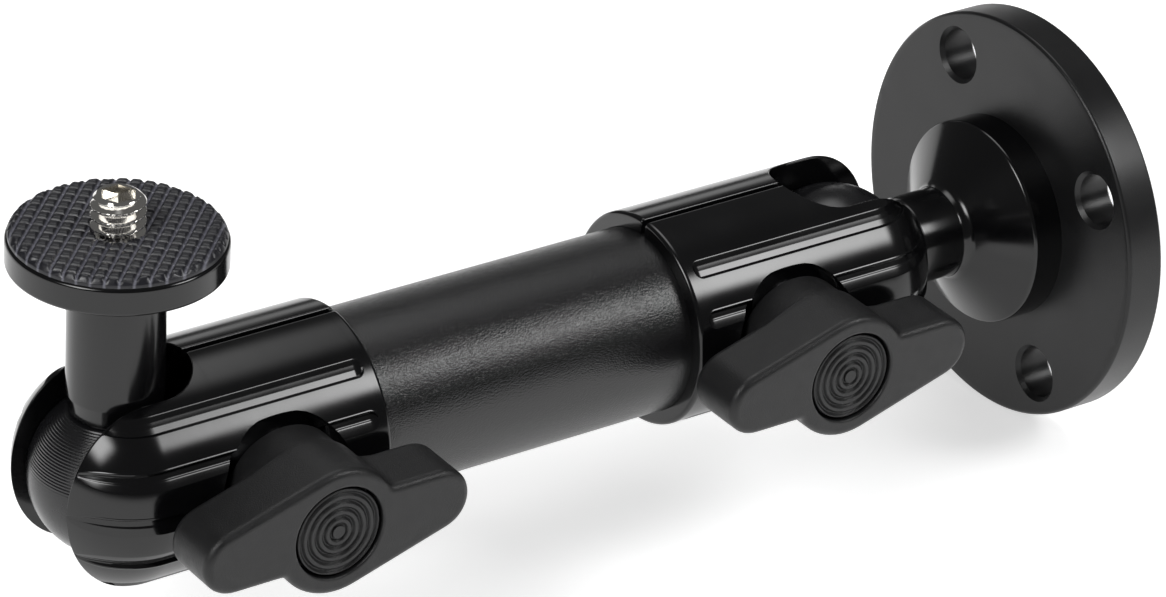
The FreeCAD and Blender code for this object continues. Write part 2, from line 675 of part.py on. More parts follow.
def camera_pad():
    """Round rubber pad with a grid of small squares, set at 45 degrees to the arm."""
    body = new_body("camera_pad")
    thick = pad_floor + tooth_height
    sheet_ring = sketch_on(body, "XY_Plane", "ring")
    circle(sheet_ring, 0, 0, pad_radius)
    circle(sheet_ring, 0, 0, pad_bore)
    pad(body, sheet_ring, thick)
    lines = int(pad_radius.value / tooth_pitch.value)
    first = -(tooth_pitch * lines) - tooth_gap / 2
    for name, along_y in (("long", True), ("cross", False)):
        channel = sketch_on(body, "XY_Plane", f"{name}_channel", pad_floor)
        box = [(first, -pad_radius), (first + tooth_gap, -pad_radius),
               (first + tooth_gap, pad_radius), (first, pad_radius)]
        outline(channel, box if along_y else [(up, across) for across, up in box])
        cut = pocket(body, channel, f"{name}_cut")
        pattern = body.newObject("PartDesign::LinearPattern", f"camera_pad_{name}_grid")
        pattern.Originals = [cut]
        pattern.Direction = (channel, ["H_Axis" if along_y else "V_Axis"])
        pattern.Occurrences = lines * 2 + 1
        bind(pattern, "Length", tooth_pitch * lines * 2)
        body.Tip = pattern
    place(body, y=-(ball_reach + ball_pitch), z=disc_top, rotation=Rotation(Vector(0, 0, 1), 45))


def camera_stud():
    """Camera screw: a plain root in the disc, a thread above the pad, a chamfered end and a key socket."""
    body = new_body("camera_stud")
    pad_face = stud_seat + pad_floor + tooth_height
    thread_start, length = pad_face + stud_relief, pad_face + stud_reach
    profile = sketch_on(body, "XZ_Plane", "profile")
    outline(profile, [(0, 0), (stud_root, 0), (stud_root, thread_start), (stud_radius, thread_start),
                      (stud_radius, length), (0, length)])
    shaft = revolve(body, profile, "V_Axis")
    finish_edges(body, shaft, "Chamfer", "end", stud_edge,
                 lambda p: at(p.z, length) and at(around(p, "z"), stud_radius))
    key = sketch_on(body, "XY_Plane", "key", length - stud_key_depth)
    hexagon(key, stud_key)
    pocket(body, key, "key_socket")
    place(body, y=-(ball_reach + ball_pitch), z=disc_top - stud_seat)


FORWARD = Rotation()
TURNED_OVER = Rotation(Vector(1, 0, 0), 180)
TO_WALL = Rotation(Vector(1, 0, 0), -90)

wall_plate()
wall_pedestal()
pedestal_screw()
ball("wall_ball", y=-ball_reach, rotation=TO_WALL)
ball("camera_ball", y=-(ball_reach + ball_pitch))
arm_tube()
camera_stem()
camera_pad()
camera_stud()

# The wall clamp is the camera clamp turned over about X, so that its tube seat faces the other way
for end, turn, centre_y, knob_y in (
        ("wall", TURNED_OVER, -ball_reach, -(ball_reach + bolt_place)),
        ("camera", FORWARD, -(ball_reach + ball_pitch), -(ball_reach + ball_pitch) + bolt_place)):
    tube_plug(f"{end}_tube_plug", turn, centre_y)
    clamp_shell(f"{end}_clamp_rear_shell", turn, centre_y, front=False)
    clamp_shell(f"{end}_clamp_front_shell", turn, centre_y, front=True)
    clamp_bolt(f"{end}_clamp_bolt", knob_y)
    clamp_spring(f"{end}_clamp_spring", knob_y)
    knob_washer(f"{end}_knob_washer", knob_y)
    knob(f"{end}_knob", turn, knob_y)
    knob_nut(f"{end}_knob_nut", knob_y)
    knob_cap(f"{end}_knob_cap", knob_y)

doc.recompute()

for item in doc.Objects:
    if "Invalid" in item.State or "Error" in item.State:
        raise RuntimeError(f"{item.Label} failed: {item.State}")
for label, body in bodies.items():
    if body.Shape.isNull() or not body.Shape.isValid() or len(body.Shape.Solids) != 1:
        raise RuntimeError(f"{label} is not one valid solid")

os.makedirs("parts", exist_ok=True)
for label, body in bodies.items():
    body.Shape.exportStep(f"parts/{label}.step")
    print(label, round(body.Shape.Volume, 2), body.Shape.BoundBox)
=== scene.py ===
import math

import bmesh
import bpy
import numpy as np
from mathutils import Matrix, Vector


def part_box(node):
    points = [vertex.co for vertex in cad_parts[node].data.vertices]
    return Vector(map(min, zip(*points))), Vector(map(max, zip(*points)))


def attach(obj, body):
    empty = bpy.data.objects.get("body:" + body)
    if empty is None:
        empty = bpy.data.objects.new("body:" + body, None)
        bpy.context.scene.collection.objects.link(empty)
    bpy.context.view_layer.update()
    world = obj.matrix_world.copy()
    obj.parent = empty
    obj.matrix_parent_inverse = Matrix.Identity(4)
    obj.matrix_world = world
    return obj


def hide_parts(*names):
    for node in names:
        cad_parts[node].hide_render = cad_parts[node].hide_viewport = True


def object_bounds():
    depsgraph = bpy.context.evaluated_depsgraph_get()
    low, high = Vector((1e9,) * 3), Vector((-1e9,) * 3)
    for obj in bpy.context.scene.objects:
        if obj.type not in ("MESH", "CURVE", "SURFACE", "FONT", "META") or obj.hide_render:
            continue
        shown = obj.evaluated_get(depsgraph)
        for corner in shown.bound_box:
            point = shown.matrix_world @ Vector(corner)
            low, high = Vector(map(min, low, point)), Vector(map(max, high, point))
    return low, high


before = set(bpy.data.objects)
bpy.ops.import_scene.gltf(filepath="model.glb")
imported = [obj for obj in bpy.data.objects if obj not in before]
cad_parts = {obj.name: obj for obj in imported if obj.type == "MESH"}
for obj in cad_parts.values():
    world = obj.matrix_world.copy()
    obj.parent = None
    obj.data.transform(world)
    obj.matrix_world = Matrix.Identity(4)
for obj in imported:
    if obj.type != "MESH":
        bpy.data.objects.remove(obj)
cad_low, cad_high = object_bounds()

# Shapes are worked out in millimetres, in the frame's own axes, and put into the meshes in metres
MM = 0.001

# Points closer than this are one point, and shorter edges go, both in metres
SAME_PLACE, NO_LENGTH = 2e-6, 1e-7


def low(node):
    """The low corner of a node's box, in millimetres."""
    return np.array(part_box(node)[0]) / MM


def high(node):
    """The high corner of a node's box, in millimetres."""
    return np.array(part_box(node)[1]) / MM


# Clearances, the same as in the part's source
SEAT_GAP, SOCKET_GAP, PLUG_GAP, SPIN_GAP = 0.05, 0.12, 0.1, 0.05

# Sizes read from the frame
PLATE_RADIUS = high("wall_plate")[0]
PLATE_THICK = -low("wall_plate")[1]
BALL_RADIUS = high("wall_ball")[0]
BALL_FLAT = high("camera_ball")[2]
WALL_BALL_Y = low("wall_ball")[1] + BALL_RADIUS
CAMERA_BALL_Y = low("camera_ball")[1] + BALL_RADIUS
TUBE_RADIUS = high("arm_tube")[0]
SHELL_RADIUS = high("wall_clamp_front_shell")[0]
SHELL_REACH = high("camera_clamp_front_shell")[1] - CAMERA_BALL_Y
SEAT_RADIUS = TUBE_RADIUS + SEAT_GAP
SOCKET_RADIUS = BALL_RADIUS + SOCKET_GAP
SEAT_START = WALL_BALL_Y - high("wall_tube_plug")[1] - PLUG_GAP
BOLT_PLACE = (low("camera_knob_nut")[1] + high("camera_knob_nut")[1]) / 2 - CAMERA_BALL_Y
DISH_FLOOR = low("camera_knob_washer")[0]
DISC_RADIUS = high("camera_stem")[0]
DISC_TOP = high("camera_stem")[2]
PAD_TOP = high("camera_pad")[2]
PAD_RADIUS = high("camera_pad")[0]
STUD_RADIUS = high("camera_stud")[0]
STUD_TOP = high("camera_stud")[2]
KNOB_BACK = low("wall_knob")[0]
KNOB_FACE = high("wall_knob")[0]
CAP_RADIUS = high("wall_knob_cap")[2]
CAP_FACE = high("wall_knob_cap")[0]

# Sizes of forms that no box gives, the same as in the part's source
FLANGE_RADIUS, FLANGE_HEIGHT, CONE_HEIGHT = 13.1, 4.1, 4.8
NECK_RADIUS, NECK_TIP, NECK_TAPER, NECK_BLEND = 5.7, 5.3, 2.5, 1.6
FIXING_CIRCLE, FIXING_BORE, FIXING_BREAK, FIXING_ANGLE = 20.75, 3.25, 0.5, 30.0
SCREW_BORE, SCREW_HEAD, SCREW_SINK = 3.0, 6.0, 3.0
PLATE_EDGE, TUBE_EDGE, PLUG_LIP = 0.4, 0.4, 3.0
MOUTH_HALF, MOUTH_PLACE, PARTING_HALF = 6.3, 2.8, 0.4
DISH_RADIUS, BOLT_HOLE, POCKET_HALF, POCKET_FLOOR = 8.8, 2.8, 4.1, 9.0
DISC_THICK, PAD_PITCH = 3.5, 1.6
HUB_RADIUS, HUB_FOOT, WING_THICK, WING_PLACE, WING_RADIUS = 8.0, 7.6, 8.0, 13.7, 4.0

# Sizes that only this script draws
DOME_REACH = 11.2
FLUTE_HEIGHTS, FLUTE_HALF = (-10.3, -5.2, 0.0, 5.2, 10.3), 1.25
FLUTE_END, FLUTE_RUN = 28.0, 1.1
END_ROUND, RIM_ROUND = 0.55, 0.35
GROOVE_PITCH, GROOVE_DEPTH, GROOVES_END = 0.36, 0.075, math.radians(84)
PAD_RISE = 0.45

# Angle in degrees up to which a shell shades smoothly
SHELL_SMOOTH = 38

# Floor colour, and the light it gives by itself to the camera and to reflections
FLOOR_WHITE, FLOOR_LIFT = (0.92, 0.92, 0.92), 0.62


def loop_faces(rows, columns, wrap=True):
    """Quads of a grid of points, row after row; with wrap each row is a closed loop."""
    r = np.arange(rows - 1)[:, None]
    c = np.arange(columns if wrap else columns - 1)[None, :]
    right = (c + 1) % columns
    quads = (r * columns + c, r * columns + right, (r + 1) * columns + right, (r + 1) * columns + c)
    return np.stack(np.broadcast_arrays(*quads), -1).reshape(-1, 4)


def face_outwards(shape):
    """Closes pinholes, then winds the faces so that the signed volume is above zero."""
    edges = [edge for edge in shape.edges if len(edge.link_faces) == 1]
    if edges:
        bmesh.ops.holes_fill(shape, edges=edges, sides=0)
    bmesh.ops.recalc_face_normals(shape, faces=shape.faces)
    if shape.calc_volume(signed=True) < 0:
        bmesh.ops.reverse_faces(shape, faces=shape.faces)


def piece(name, parts, material, body, nodes=(), sharp=32.0):
    """A mesh from (points, faces) parts in millimetres.

    Doubles are merged, faces turned outwards, and edges shade smoothly up to an angle.
    """
    points, faces, count = [], [], 0
    for part_points, part_faces in parts:
        points.append(part_points.reshape(-1, 3))
        faces += (part_faces + count).tolist()
        count += len(points[-1])
    mesh = bpy.data.meshes.new(name)
    mesh.from_pydata((np.concatenate(points) * MM).tolist(), [], faces)
    shape = bmesh.new()
    shape.from_mesh(mesh)
    bmesh.ops.remove_doubles(shape, verts=shape.verts, dist=SAME_PLACE)
    bmesh.ops.dissolve_degenerate(shape, edges=shape.edges, dist=NO_LENGTH)
    face_outwards(shape)
    shape.to_mesh(mesh)
    shape.free()
    mesh.shade_smooth()
    mesh.set_sharp_from_angle(angle=math.radians(sharp))
    thing = bpy.data.objects.new(name, mesh)
    bpy.context.scene.collection.objects.link(thing)
    mesh.materials.append(material)
    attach(thing, body)
    if nodes:
        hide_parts(*nodes)
    return thing


def rounded(corners, steps=7, support=0.05):
    """A profile line through corners (radius, height, rounding).

    Each rounding is an arc tangent to both runs, and a close point on each run keeps the run's shade flat.
    """
    line = []
    for number, corner in enumerate(corners):
        spot = np.array(corner[:2], float)
        size = corner[2] if len(corner) > 2 else 0.0
        if size == 0 or number in (0, len(corners) - 1):
            line.append(spot[None, :])
            continue
        before = np.array(corners[number - 1][:2], float) - spot
        after = np.array(corners[number + 1][:2], float) - spot
        before /= np.linalg.norm(before)
        after /= np.linalg.norm(after)
        half = math.acos(np.clip(before @ after, -1, 1)) / 2
        reach = size / math.tan(half)
        middle = (before + after) / np.linalg.norm(before + after)
        centre = spot + middle * size / math.sin(half)
        start, end = spot + before * reach - centre, spot + after * reach - centre
        first = math.atan2(start[1], start[0])
        turn = (math.atan2(end[1], end[0]) - first + math.pi) % (2 * math.pi) - math.pi
        angles = first + turn * np.linspace(0, 1, steps)
        arc = centre + size * np.stack([np.cos(angles), np.sin(angles)], -1)
        line += [spot[None, :] + before * (reach + support), arc, spot[None, :] + after * (reach + support)]
    return np.concatenate(line)


def turned(profile, centre, axis, segments=128):
    """Points (radius, height) of a profile carried round an axis: centre + height * axis + radius * spoke."""
    axis = np.array(axis, float)
    side = np.array((1.0, 0, 0)) if abs(axis[0]) < 0.5 else np.array((0, 1.0, 0))
    other = np.cross(axis, side)
    angle = np.linspace(0, 2 * np.pi, segments, endpoint=False)
    spoke = np.cos(angle)[:, None] * side + np.sin(angle)[:, None] * other
    points = np.array(centre, float) + profile[:, None, 1:2] * axis + profile[:, None, 0:1] * spoke[None]
    return points, loop_faces(len(profile), segments)


def new_material(name, color, roughness, metallic=0.0, specular=0.5):
    """A principled finish; returns the material, its nodes, links and shader."""
    material = bpy.data.materials.new(name)
    material.use_nodes = True
    nodes, links = material.node_tree.nodes, material.node_tree.links
    shader = nodes["Principled BSDF"]
    shader.inputs["Base Color"].default_value = (*color, 1)
    shader.inputs["Roughness"].default_value = roughness
    shader.inputs["Metallic"].default_value = metallic
    shader.inputs["Specular IOR Level"].default_value = specular
    return material, nodes, links, shader


def noise(nodes, links, scale, detail=2.0):
    """Noise on the object's own coordinates; scale is in cells for each metre."""
    place = nodes.new("ShaderNodeTexCoord")
    field = nodes.new("ShaderNodeTexNoise")
    field.inputs["Scale"].default_value = scale
    field.inputs["Detail"].default_value = detail
    links.new(place.outputs["Object"], field.inputs["Vector"])
    return field.outputs["Fac"]


def spread(nodes, links, value, low_value, high_value, start=0.3, end=0.7):
    """Maps a field to a range of numbers."""
    ramp = nodes.new("ShaderNodeMapRange")
    ramp.inputs["From Min"].default_value = start
    ramp.inputs["From Max"].default_value = end
    ramp.inputs["To Min"].default_value = low_value
    ramp.inputs["To Max"].default_value = high_value
    links.new(value, ramp.inputs["Value"])
    return ramp.outputs["Result"]


def bump(nodes, links, shader, height, depth, strength=1.0):
    """Bump of a field on a shader, with its depth in millimetres."""
    relief = nodes.new("ShaderNodeBump")
    relief.inputs["Strength"].default_value = strength
    relief.inputs["Distance"].default_value = depth * MM
    links.new(height, relief.inputs["Height"])
    links.new(relief.outputs["Normal"], shader.inputs["Normal"])


def tint(nodes, links, shader, value, dark, light):
    """Colour that drifts between two tones with a field."""
    mix = nodes.new("ShaderNodeMix")
    mix.data_type = "RGBA"
    mix.inputs["A"].default_value = (*dark, 1)
    mix.inputs["B"].default_value = (*light, 1)
    links.new(value, mix.inputs["Factor"])
    links.new(mix.outputs["Result"], shader.inputs["Base Color"])


def gloss_black():
    """Gloss black coat on die-cast metal: deep colour with a faint unevenness."""
    material, nodes, links, shader = new_material("gloss_black", (0.003, 0.003, 0.0034), 0.14)
    links.new(spread(nodes, links, noise(nodes, links, 90, 3), 0.11, 0.17), shader.inputs["Roughness"])
    bump(nodes, links, shader, noise(nodes, links, 260, 2), 0.02, 0.25)
    return material


def powder_black():
    """Matte black powder coat with a very fine grain."""
    color = (0.008, 0.008, 0.0085)
    material, nodes, links, shader = new_material("powder_black", color, 0.34, specular=0.38)
    tint(nodes, links, shader, noise(nodes, links, 60, 3), (0.006, 0.006, 0.0065), (0.010, 0.010, 0.0105))
    bump(nodes, links, shader, noise(nodes, links, 7500, 1), 0.02, 0.7)
    links.new(spread(nodes, links, noise(nodes, links, 150), 0.30, 0.38), shader.inputs["Roughness"])
    return material


def blasted_black():
    """Sand-blasted black aluminium, whose grain sparkles in the highlight."""
    color = (0.008, 0.008, 0.0085)
    material, nodes, links, shader = new_material("blasted_black", color, 0.27, specular=0.58)
    tint(nodes, links, shader, noise(nodes, links, 2600, 1), (0.004, 0.004, 0.0045), (0.012, 0.012, 0.0125))
    bump(nodes, links, shader, noise(nodes, links, 5200, 1), 0.05)
    return material


def knob_plastic():
    """Moulded black plastic with a fine matte texture."""
    color = (0.010, 0.010, 0.0105)
    material, nodes, links, shader = new_material("knob_plastic", color, 0.40, specular=0.4)
    tint(nodes, links, shader, noise(nodes, links, 120, 3), (0.009, 0.009, 0.0095), (0.014, 0.014, 0.0145))
    bump(nodes, links, shader, noise(nodes, links, 6500, 1), 0.04, 0.9)
    links.new(spread(nodes, links, noise(nodes, links, 700), 0.36, 0.46), shader.inputs["Roughness"])
    return material


def satin_ball():
    """Satin black, turned surface."""
    material, nodes, links, shader = new_material("satin_ball", (0.008, 0.008, 0.009), 0.24)
    links.new(spread(nodes, links, noise(nodes, links, 400), 0.2, 0.3), shader.inputs["Roughness"])
    return material


def pad_rubber():
    """Rubber, faintly blue: dark bumps, and pale lines along one set of its channels, which are a painted
    highlight put into the rubber's colour.

    A point's distance across the lines, counted in pitches and folded at each half, is 0 on a line.
    """
    # pale is the colour of the painted highlight lines; dark is the rubber's own colour
    dark, pale, glint_half, glint_fade = (0.010, 0.010, 0.014), (0.15, 0.15, 0.18), 0.03, 0.14
    material, nodes, links, shader = new_material("pad_rubber", dark, 0.34)
    place = nodes.new("ShaderNodeTexCoord")
    along = nodes.new("ShaderNodeVectorMath")
    along.operation = "DOT_PRODUCT"
    scale = 1 / (math.sqrt(2) * PAD_PITCH * MM)
    along.inputs[1].default_value = (scale, scale, 0)
    links.new(place.outputs["Object"], along.inputs[0])
    shift = nodes.new("ShaderNodeMath")
    shift.operation = "SUBTRACT"
    shift.inputs[1].default_value = CAMERA_BALL_Y * MM * scale
    links.new(along.outputs["Value"], shift.inputs[0])
    fold = nodes.new("ShaderNodeMath")
    fold.operation = "PINGPONG"
    fold.inputs[1].default_value = 0.5
    links.new(shift.outputs["Value"], fold.inputs[0])
    off_painted_glint = spread(nodes, links, fold.outputs["Value"], 0, 1, glint_half, glint_fade)
    # Painted highlight: pale lines along the channels, mixed into the rubber's base colour
    tint(nodes, links, shader, off_painted_glint, pale, dark)
    links.new(spread(nodes, links, noise(nodes, links, 900, 3), 0.28, 0.44), shader.inputs["Roughness"])
    bump(nodes, links, shader, noise(nodes, links, 2500), 0.03, 0.5)
    return material


def bright_nickel():
    """Bright nickel plate with faint tool marks."""
    material, nodes, links, shader = new_material("bright_nickel", (0.90, 0.88, 0.84), 0.08, metallic=1.0)
    links.new(spread(nodes, links, noise(nodes, links, 900, 3), 0.04, 0.11), shader.inputs["Roughness"])
    bump(nodes, links, shader, noise(nodes, links, 700, 1), 0.006, 0.2)
    return material


def dark_steel(name="dark_steel", color=(0.16, 0.16, 0.165)):
    """Zinc-plated steel of the inner fasteners, cloudy as plated parts are."""
    material, nodes, links, shader = new_material(name, color, 0.35, metallic=1.0)
    tone = tuple(part * 1.35 for part in color)
    tint(nodes, links, shader, noise(nodes, links, 300, 4), color, tone)
    links.new(spread(nodes, links, noise(nodes, links, 600), 0.25, 0.45), shader.inputs["Roughness"])
    return material


GLOSS = gloss_black()
POWDER = powder_black()
BLASTED = blasted_black()
PLASTIC = knob_plastic()
SATIN = satin_ball()
RUBBER = pad_rubber()
NICKEL = bright_nickel()
STEEL = dark_steel()
BLACKED = dark_steel("blackened_steel", (0.03, 0.03, 0.03))


def wall_plate():
    """Round plate with four holes: one sector round each hole, mirrored and turned by quarters.

    In a sector a spoke from the hole's centre runs out to the first of the outer rim, the inner circle
    and the two dividing lines, and a share from 0 to 1 carries a point from the hole's rim to that end.
    Two rings close the plate: the rim, and a hub with the countersunk hole of the pedestal's screw.
    """
    under_foot, far_off, step_in = 2.0, 1e9, 0.05
    inner, outer = FLANGE_RADIUS - under_foot, PLATE_RADIUS - PLATE_EDGE
    wall = math.radians(45)
    centre = np.array([FIXING_CIRCLE, 0.0])
    corners = [np.array([radius * math.cos(wall), radius * math.sin(wall) * way]) - centre
               for radius in (inner, outer) for way in (1, -1)]
    angle = np.sort(np.concatenate([np.linspace(0, 2 * np.pi, 180, endpoint=False),
                                    [math.atan2(spot[1], spot[0]) % (2 * np.pi) for spot in corners]]))
    spokes = len(angle)
    heading = np.stack([np.cos(angle), np.sin(angle)], -1)
    along = heading @ centre
    far = -along + np.sqrt(along ** 2 - centre @ centre + outer ** 2)
    inside = along ** 2 - centre @ centre + inner ** 2
    near = np.where((inside > 0) & (along < 0), -along - np.sqrt(np.maximum(inside, 0)), far_off)
    ends = [far, near]
    for way in (1, -1):
        normal = np.array([-math.sin(wall), math.cos(wall) * way])
        facing = heading @ normal
        meets = facing > 1e-6
        ends.append(np.where(meets, -(centre @ normal) / np.where(meets, facing, 1), far_off))
    reach = np.min(ends, axis=0)
    mouth = FIXING_BORE + FIXING_BREAK
    share = np.concatenate([[0.0, 0.03], np.linspace(0.12, 1, 8)])
    radii = mouth + share[:, None] * (reach - mouth)[None, :]
    bore, broken = np.full(spokes, FIXING_BORE), PLATE_THICK - FIXING_BREAK
    rows = [(bore, PLATE_THICK / 2), (bore, broken - step_in), (bore, broken)]
    rows.append((np.full(spokes, mouth), PLATE_THICK))
    rows += [(radius, PLATE_THICK) for radius in radii[1:]]
    sectors = []
    for face in (1, -1):
        flat = np.stack([centre + heading * radius[:, None] for radius, _ in rows])
        depth = np.array([height for _, height in rows])
        depth = depth if face == 1 else PLATE_THICK - depth
        for quarter in range(4):
            turn = math.radians(FIXING_ANGLE + 90 * quarter)
            across = flat[..., 0] * math.cos(turn) - flat[..., 1] * math.sin(turn)
            up = flat[..., 0] * math.sin(turn) + flat[..., 1] * math.cos(turn)
            points = np.stack([across, np.broadcast_to(-depth[:, None], across.shape), up], -1)
            sectors.append((points, loop_faces(len(rows), spokes)))
    rim_angles, hub_angles = circle_angles(sectors[:4], outer), circle_angles(sectors[:4], inner)
    ease_in, ease_out, guard = 0.12, 0.03, PLATE_EDGE + 0.1
    chamfer = [(outer, 0), (outer + ease_in, ease_out), (PLATE_RADIUS - ease_out, PLATE_EDGE - ease_in),
               (PLATE_RADIUS, PLATE_EDGE)]
    rim = np.array(chamfer + [(PLATE_RADIUS, guard), (PLATE_RADIUS, PLATE_THICK - guard)]
                   + [(radius, PLATE_THICK - height) for radius, height in reversed(chamfer)])
    hub = np.array([(inner, PLATE_THICK), (SCREW_BORE, PLATE_THICK), (SCREW_BORE, SCREW_SINK),
                    (SCREW_HEAD, 0), (SCREW_HEAD + 0.1, 0), (inner, 0)])
    for ring, around in ((rim, rim_angles), (hub, hub_angles)):
        depth = np.broadcast_to(-ring[:, 1:2], (len(ring), len(around)))
        points = np.stack([ring[:, 0:1] * np.cos(around), depth, ring[:, 0:1] * np.sin(around)], -1)
        sectors.append((points, loop_faces(len(ring), len(around))))
    return piece("plate", sectors, POWDER, "wall", ["wall_plate"])


def circle_angles(sectors, radius):
    """Angles about the arm, in order, of the sectors' points that lie on a circle."""
    on_circle, same_angle = 1e-4, 1e-5
    points = np.concatenate([sector[0].reshape(-1, 3) for sector in sectors])
    there = np.abs(np.hypot(points[:, 0], points[:, 2]) - radius) < on_circle
    angles = np.sort(np.arctan2(points[there, 2], points[there, 0]))
    return angles[np.concatenate([[True], np.diff(angles) > same_angle])]


def pedestal():
    """Foot, cone and neck turned about the arm's axis."""
    sunk, foot_round, waist_round = 0.01, 0.6, 1.0
    foot, shoulder = PLATE_THICK - sunk, PLATE_THICK + FLANGE_HEIGHT
    cone_end, flat = shoulder + CONE_HEIGHT, -WALL_BALL_Y - BALL_FLAT - SPIN_GAP
    corners = [(0, foot), (FLANGE_RADIUS, foot), (FLANGE_RADIUS, shoulder, foot_round),
               (NECK_RADIUS, cone_end, NECK_BLEND), (NECK_RADIUS, flat - NECK_TAPER, waist_round),
               (NECK_TIP, flat), (0, flat)]
    shape = turned(rounded(corners, 10), (0, 0, 0), (0, -1, 0), 192)
    return piece("pedestal", [shape], GLOSS, "wall", ["wall_pedestal"])


def grooved_ball(name, centre, axis, body, node, rows_each):
    """Ball with fine turned grooves: its radius less a wave of the arc from the neck, down to the middle."""
    brink, fade, flat_edge = 0.01, 0.12, 0.6
    top = math.acos(BALL_FLAT / BALL_RADIUS)
    count = int((math.pi - top) * BALL_RADIUS / GROOVE_PITCH) * rows_each
    angle = np.linspace(top + brink, math.pi, count)
    wave = 0.5 - 0.5 * np.cos(2 * np.pi * (angle * BALL_RADIUS) / GROOVE_PITCH)
    radius = BALL_RADIUS - GROOVE_DEPTH * wave * np.clip((GROOVES_END - angle) / fade, 0, 1)
    curve = np.stack([radius * np.sin(angle), radius * np.cos(angle)], -1)
    flat = np.array([(0, BALL_FLAT), (NECK_TIP - flat_edge, BALL_FLAT)])
    shape = turned(np.concatenate([flat, curve]), centre, axis, 144)
    return piece(name, [shape], SATIN, body, [node], 80)


def camera_stem():
    """Neck and disc turned in one about the camera screw's axis."""
    tip_round, waist_round, under_fillet, rim_round, under_pad = 0.1, 1.0, 1.7, 0.5, 0.3
    flat, under = BALL_FLAT + SPIN_GAP, DISC_TOP - DISC_THICK
    corners = [(0, flat), (NECK_TIP, flat, tip_round), (NECK_RADIUS, flat + NECK_TAPER, waist_round),
               (NECK_RADIUS, under, under_fillet), (DISC_RADIUS, under, rim_round),
               (DISC_RADIUS, DISC_TOP, rim_round), (PAD_RADIUS - under_pad, DISC_TOP), (0, DISC_TOP)]
    shape = turned(rounded(corners, 8), (0, CAMERA_BALL_Y, 0), (0, 0, 1), 192)
    return piece("stem_and_disc", [shape], GLOSS, "camera_head", ["camera_stem"])


def arm_tube():
    """Plain tube with broken edges, open to its plugs."""
    start, end = low("arm_tube")[1], high("arm_tube")[1]
    bore = high("wall_tube_plug")[2] - PLUG_LIP
    corners = [(bore, start), (TUBE_RADIUS, start, TUBE_EDGE), (TUBE_RADIUS, end, TUBE_EDGE), (bore, end),
               (bore, start)]
    shape = turned(rounded(corners), (0, 0, 0), (0, 1, 0), 192)
    return piece("tube", [shape], BLASTED, "arm", ["arm_tube"])


def shell_rows():
    """Places along the arm from a ball's centre, close together where a shell's form turns fast."""
    dome_end = math.acos(MOUTH_HALF / SHELL_RADIUS) - 1e-4
    dome = -DOME_REACH * np.sin(dome_end * np.cos(np.linspace(0, np.pi / 2, 60)))
    straight = np.linspace(0.1, MOUTH_PLACE, 12)
    notch_end = math.asin(math.sqrt(MOUTH_HALF ** 2 - PARTING_HALF ** 2) / MOUTH_HALF)
    notch = MOUTH_PLACE + MOUTH_HALF * np.sin(np.linspace(0.02, notch_end, 32))
    web = np.linspace(notch[-1] + 0.1, SEAT_START, 8)
    seat = np.concatenate([[SEAT_START + 1e-3], np.linspace(SEAT_START + 1, FLUTE_END - FLUTE_RUN - 0.2, 8)])
    flute_end = FLUTE_END - FLUTE_RUN * np.cos(np.linspace(0, np.pi / 2, 12))
    edge = SHELL_REACH - END_ROUND * (1 - np.sin(np.linspace(0, np.pi / 2, 8)))
    plain = [FLUTE_END + 0.3, edge[0] - 0.05]
    return np.concatenate([dome, straight, notch, web, seat, flute_end, plain, edge])


